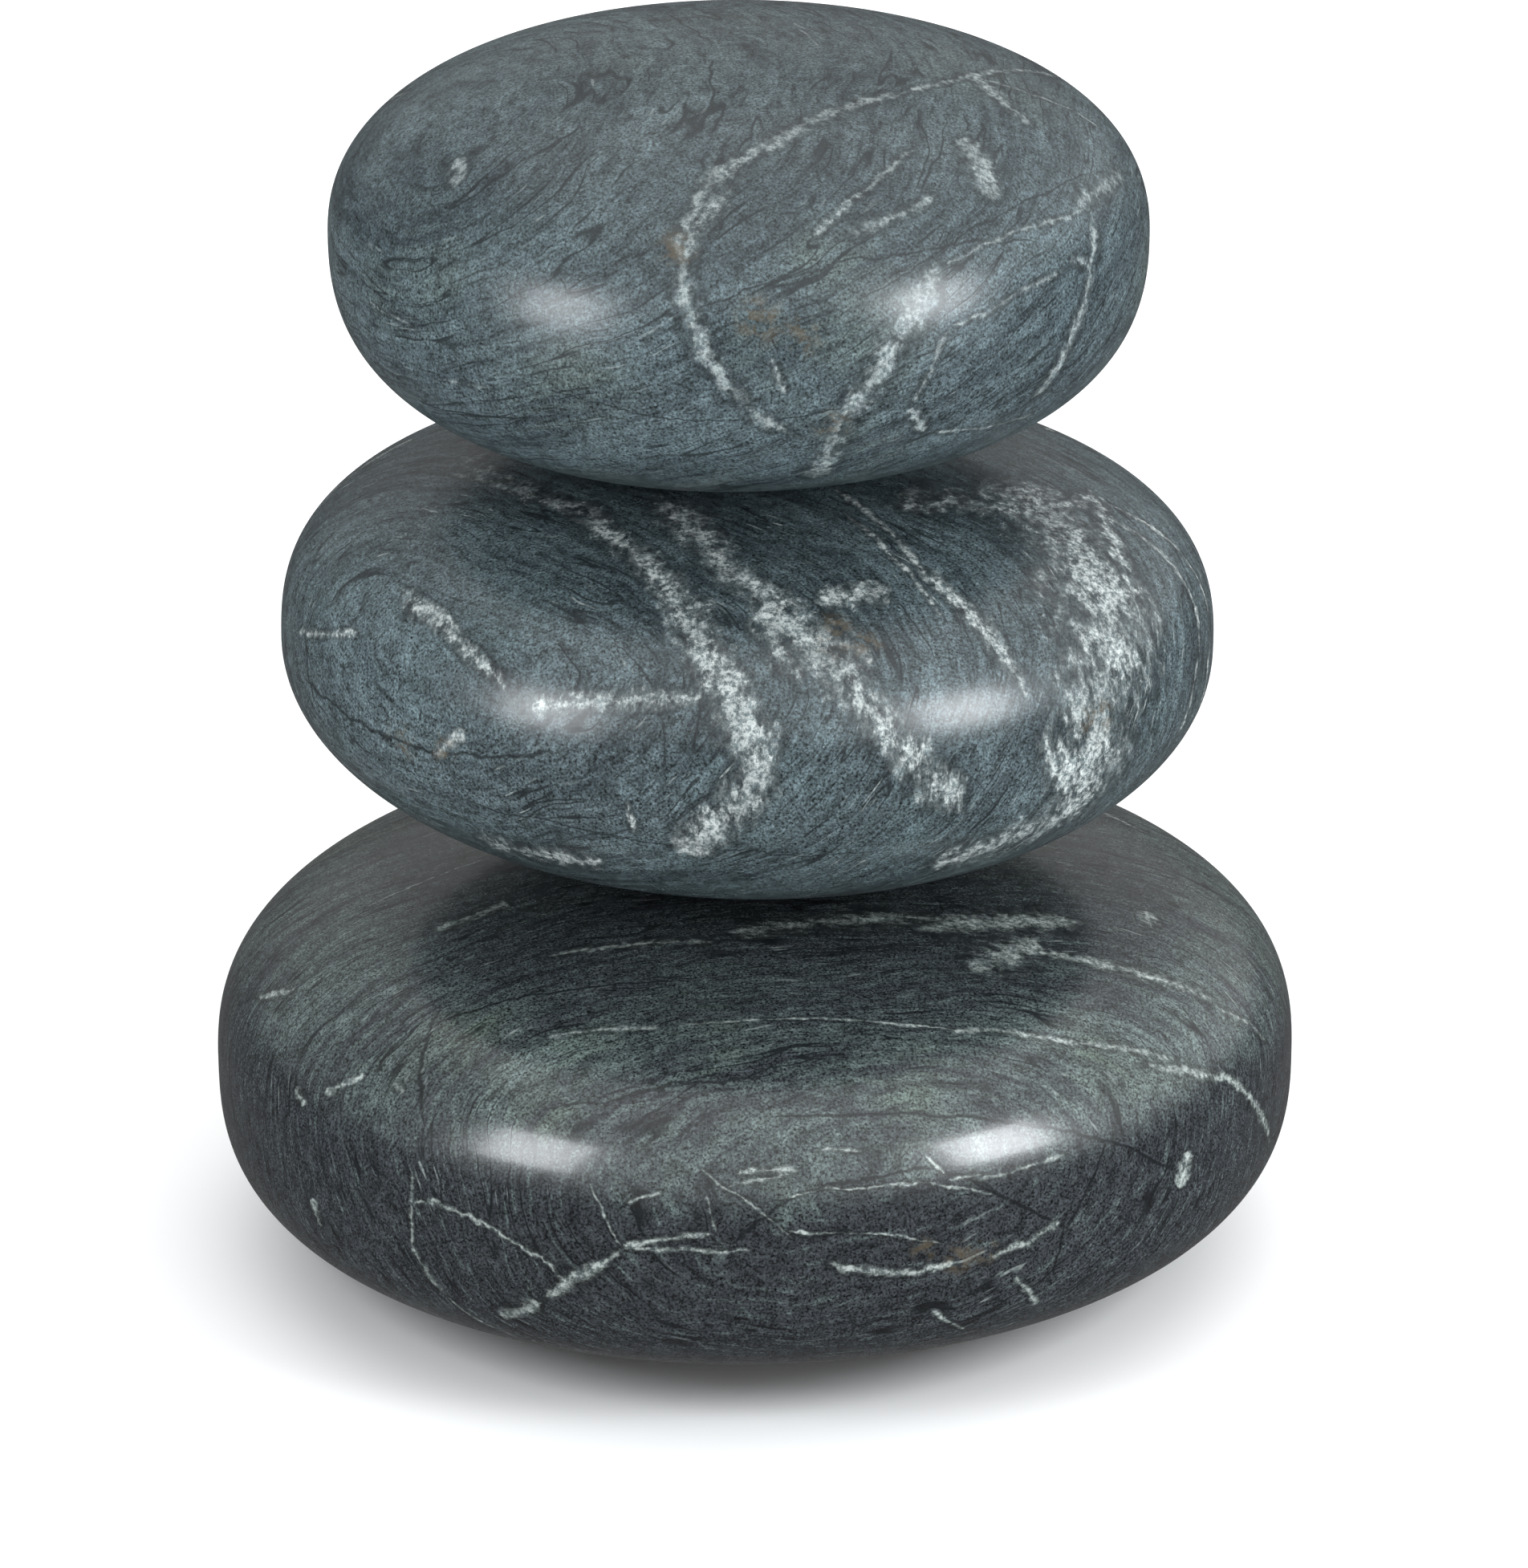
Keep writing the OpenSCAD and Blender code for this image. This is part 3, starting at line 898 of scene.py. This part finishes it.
def softbox(name, place, aim, size, watts, colour=WHITE, mirrored=True):
    """A rectangular lamp. One that isn't mirrored lights the scene and shows in no reflection."""
    data = bpy.data.lights.new(name, "AREA")
    data.shape = "RECTANGLE"
    data.size, data.size_y = size
    data.energy = watts
    data.color = colour
    lamp = bpy.data.objects.new(name, data)
    bpy.context.scene.collection.objects.link(lamp)
    lamp.location = place
    lamp.rotation_euler = (Vector(aim) - Vector(place)).to_track_quat("-Z", "Y").to_euler()
    lamp.visible_camera = False
    lamp.visible_glossy = mirrored


def floor():
    """A plain pale floor, which no stone mirrors."""
    corners = [(-FLOOR_HALF, -FLOOR_HALF, 0), (FLOOR_HALF, -FLOOR_HALF, 0),
               (FLOOR_HALF, FLOOR_HALF, 0), (-FLOOR_HALF, FLOOR_HALF, 0)]
    mesh = bpy.data.meshes.new("floor")
    mesh.from_pydata(corners, [], [(0, 1, 2, 3)])
    made = bpy.data.objects.new("floor", mesh)
    bpy.context.scene.collection.objects.link(made)
    g = Graph(bpy.data.materials.new("pale_floor"))
    mottle = g.noise(g.millimetres(), 60, 2)
    made.data.materials.append(g.surface(g.mix(mottle, (0.88, 0.88, 0.88), (0.9, 0.9, 0.9)), 0.7))
    made.visible_glossy = False


def sky():
    """A white studio: brightest in front, above eye level and on the right, and dimmer behind."""
    world = bpy.data.worlds.new("studio")
    bpy.context.scene.world = world
    g = Graph(world)
    split = g.node("ShaderNodeSeparateXYZ")
    g.put(g.node("ShaderNodeTexCoord").outputs["Generated"], split.inputs["Vector"])
    x, y, z = split.outputs
    front = g.smooth(y, 0.1, -0.7)
    level = g.math("ADD", 0.34, g.math("MULTIPLY", front, 0.9))
    level = g.math("ADD", level, g.math("MULTIPLY", g.smooth(z, 0.45, 1.0), 0.35))
    level = g.math("MULTIPLY", level, g.math("ADD", 1.0, g.math("MULTIPLY", x, 0.35)))
    level = g.math("ADD", level, g.math("MULTIPLY", g.smooth(x, 0.3, 0.9), 0.8))
    level = g.math("ADD", 0.15, g.math("MULTIPLY", level, g.smooth(z, -0.02, 0.28)))
    shade = g.node("ShaderNodeBackground")
    g.put(level, shade.inputs["Strength"])
    g.put(shade.outputs["Background"], g.node("ShaderNodeOutputWorld").inputs["Surface"])


def photo_camera():
    """A camera where the photograph's was, as the outlines of the stones place it."""
    data = bpy.data.cameras.new("camera")
    data.lens = LENS
    data.sensor_width = SENSOR
    data.clip_end = CAMERA_REACH
    camera = bpy.data.objects.new("camera", data)
    bpy.context.scene.collection.objects.link(camera)
    camera.location = (CAMERA_ASIDE, -CAMERA_BACK, CAMERA_UP)
    camera.rotation_euler = (math.radians(90 - LOOK_DOWN), 0, 0)
    bpy.context.scene.camera = camera


# The two small lamps in front make the highlights on every stone's shoulders.
softbox("left_softbox", place=(-0.27, -0.28, 0.25), aim=STACK_MIDDLE,
        size=(0.14, 0.16), watts=0.8, colour=COOL)
softbox("right_softbox", place=(0.32, -0.28, 0.26), aim=STACK_MIDDLE,
        size=(0.15, 0.16), watts=1.3, colour=COOL)
softbox("overhead", place=(0, 0.5, 2.4), aim=(0, 0.4, 0), size=(3.0, 3.0), watts=14)
softbox("backdrop", place=(0, 2.1, 2.0), aim=(0, 2.1, 0), size=(4.0, 2.4), watts=60, mirrored=False)
floor()
sky()
photo_camera()
bpy.context.scene.view_settings.view_transform = "Standard"
